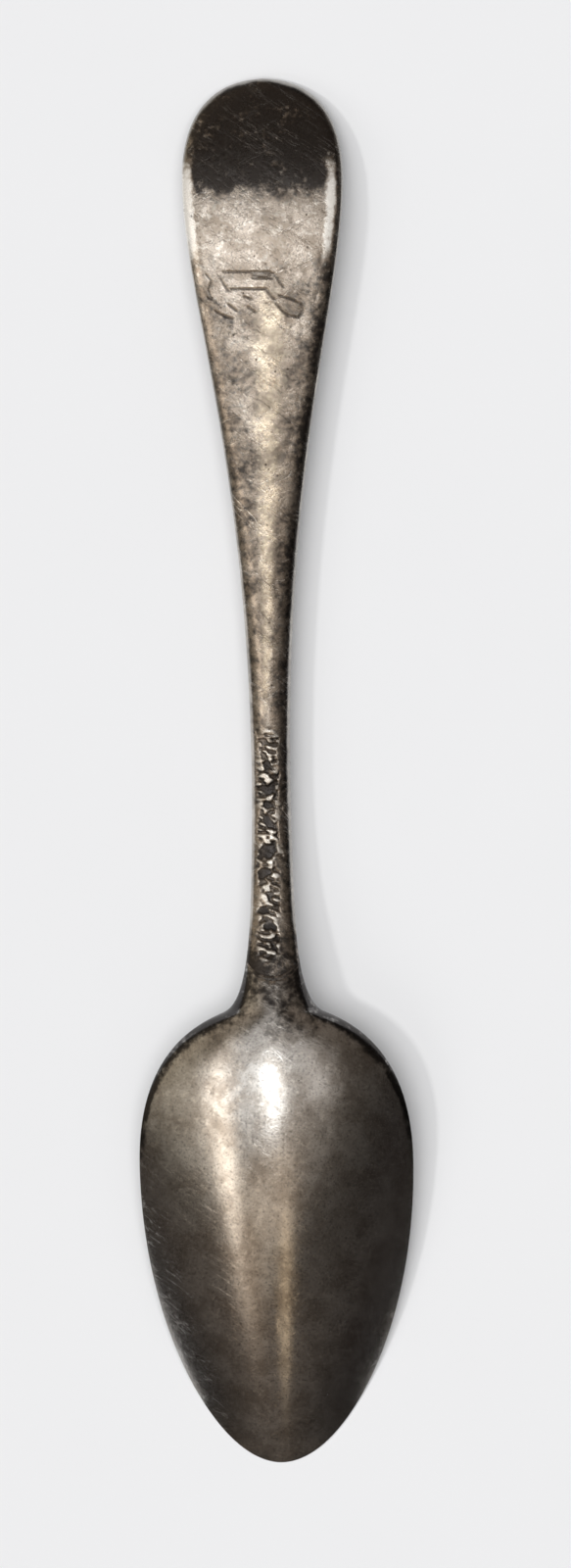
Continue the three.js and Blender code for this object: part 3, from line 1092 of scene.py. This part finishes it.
# The suns, as (name, angle round from the spoon's right, height, spread, strength), with the
# angles in degrees.
SUNS = (
    ("Overhead light", 180, 86, 55.0, 1.92),
    ("Key light", 192, 55, 6.0, 0.55),
    ("Fill light", 215, 36, 24.0, 0.25),
)


def glow_group():
    """The light of one glow as seen along a direction."""
    tree, into, out = new_group("Glow", {
        "Across": 0.0, "Along": 0.0, "Middle Across": 0.0, "Middle Along": 0.0,
        "Width": 10.0, "Length": 10.0, "Hardness": 2.0, "Colour": COLOUR,
    }, ("Light",), COLOUR)
    falls = []
    for axis, size in (("Across", "Width"), ("Along", "Length")):
        away = calc(tree, "SUBTRACT", into[axis], into["Middle " + axis])
        away = calc(tree, "DIVIDE", calc(tree, "ABSOLUTE", away), into[size])
        falls.append(calc(tree, "POWER", away, into["Hardness"]))
    level = calc(tree, "EXPONENT", times(tree, calc(tree, "ADD", *falls), -1.0))
    light = put(
        tree, "ShaderNodeVectorMath", {0: into["Colour"], "Scale": level},
        operation="SCALE",
    ).outputs[0]
    give(tree, out, {"Light": light})
    return tree


def light_room(context):
    """A dim room with soft glows for the silver to mirror, and even light on the paper."""
    world = bpy.data.worlds.new("Room")
    world.use_nodes = True
    tree = world.node_tree
    tree.nodes.clear()
    toward = put(tree, "ShaderNodeTexCoord").outputs["Generated"]
    split = put(tree, "ShaderNodeSeparateXYZ", {0: toward}).outputs
    across, along = (
        times(tree, calc(tree, "ARCTAN2", split[k], split[2]), math.degrees(1)) for k in (0, 1)
    )
    total = put(tree, "ShaderNodeRGB").outputs[0]
    total.default_value = rgba(ROOM)
    for x, y, wide, long, hardness, colour in GLOWS:
        glow = use_group(tree, "Glow", glow_group, {
            "Across": across, "Along": along, "Middle Across": x, "Middle Along": y,
            "Width": wide, "Length": long, "Hardness": hardness, "Colour": rgba(colour),
        })
        total = put(
            tree, "ShaderNodeVectorMath", {0: total, 1: glow[0]}, operation="ADD"
        ).outputs[0]
    mirrored = put(tree, "ShaderNodeBackground", {0: total})
    even = put(tree, "ShaderNodeBackground", {0: rgba(EVEN_LIGHT), 1: EVEN_STRENGTH})
    ray = put(tree, "ShaderNodeLightPath").outputs["Is Glossy Ray"]
    both = put(tree, "ShaderNodeMixShader", {0: ray, 1: even.outputs[0], 2: mirrored.outputs[0]})
    put(tree, "ShaderNodeOutputWorld", {0: both.outputs[0]})
    context.scene.world = world

    for name, azimuth, elevation, spread_angle, strength in SUNS:
        lamp = bpy.data.lights.new(name, "SUN")
        lamp.energy = strength
        lamp.angle = math.radians(spread_angle)
        item = bpy.data.objects.new(name, lamp)
        a, e = math.radians(azimuth), math.radians(elevation)
        away = Vector((math.cos(a) * math.cos(e), math.sin(a) * math.cos(e), math.sin(e)))
        item.rotation_euler = away.to_track_quat("Z", "Y").to_euler()
        item.visible_glossy = False
        context.scene.collection.objects.link(item)


def place_camera(context, stage):
    """Looks straight down on the spoon, a little from its right."""
    data = bpy.data.cameras.new("Camera")
    data.sensor_width = 36.0
    data.lens = data.sensor_width * stage.camera_height / stage.view_length
    data.clip_start = 0.01
    camera = bpy.data.objects.new("Camera", data)
    aim = Vector((stage.aim_across, stage.aim_along, 0.0))
    away = Vector((math.sin(stage.lean), 0.0, math.cos(stage.lean)))
    camera.location = aim + away * stage.camera_height
    up = Vector((-math.sin(stage.roll), math.cos(stage.roll), 0.0))
    right = up.cross(away).normalized()
    up = away.cross(right)
    camera.rotation_mode = "QUATERNION"
    camera.rotation_quaternion = Matrix((right, up, away)).transposed().to_quaternion()
    context.scene.collection.objects.link(camera)
    context.scene.camera = camera


# ---------------------------------------------------------------- panel and registration


class SPOON_PT_panel(bpy.types.Panel):
    """Buttons that build the spoon, in the sidebar"""

    bl_label = "Silver Teaspoon"
    bl_idname = "SPOON_PT_panel"
    bl_space_type = "VIEW_3D"
    bl_region_type = "UI"
    bl_category = "Spoon"

    def draw(self, context):
        for operator in OPERATORS:
            self.layout.operator(operator.bl_idname)
        scene = context.scene
        for group in (scene.spoon_sizes, scene.spoon_finish, scene.spoon_stage):
            box = self.layout.box()
            for name in type(group).__annotations__:
                box.prop(group, name)


GROUPS = {"spoon_sizes": SpoonSizes, "spoon_finish": SpoonFinish, "spoon_stage": SpoonStage}
OPERATORS = (SPOON_OT_bowl, SPOON_OT_handle, SPOON_OT_solder, SPOON_OT_stage)


def register():
    for cls in (*GROUPS.values(), *OPERATORS, SPOON_PT_panel):
        bpy.utils.register_class(cls)
    for name, group in GROUPS.items():
        setattr(bpy.types.Scene, name, PointerProperty(type=group))


def unregister():
    for name in GROUPS:
        delattr(bpy.types.Scene, name)
    for cls in reversed((*GROUPS.values(), *OPERATORS, SPOON_PT_panel)):
        bpy.utils.unregister_class(cls)


def main():
    register()
    bpy.ops.spoon.bowl()
    bpy.ops.spoon.handle()
    bpy.ops.spoon.solder()
    bpy.ops.spoon.stage()


if __name__ == "__main__":
    main()
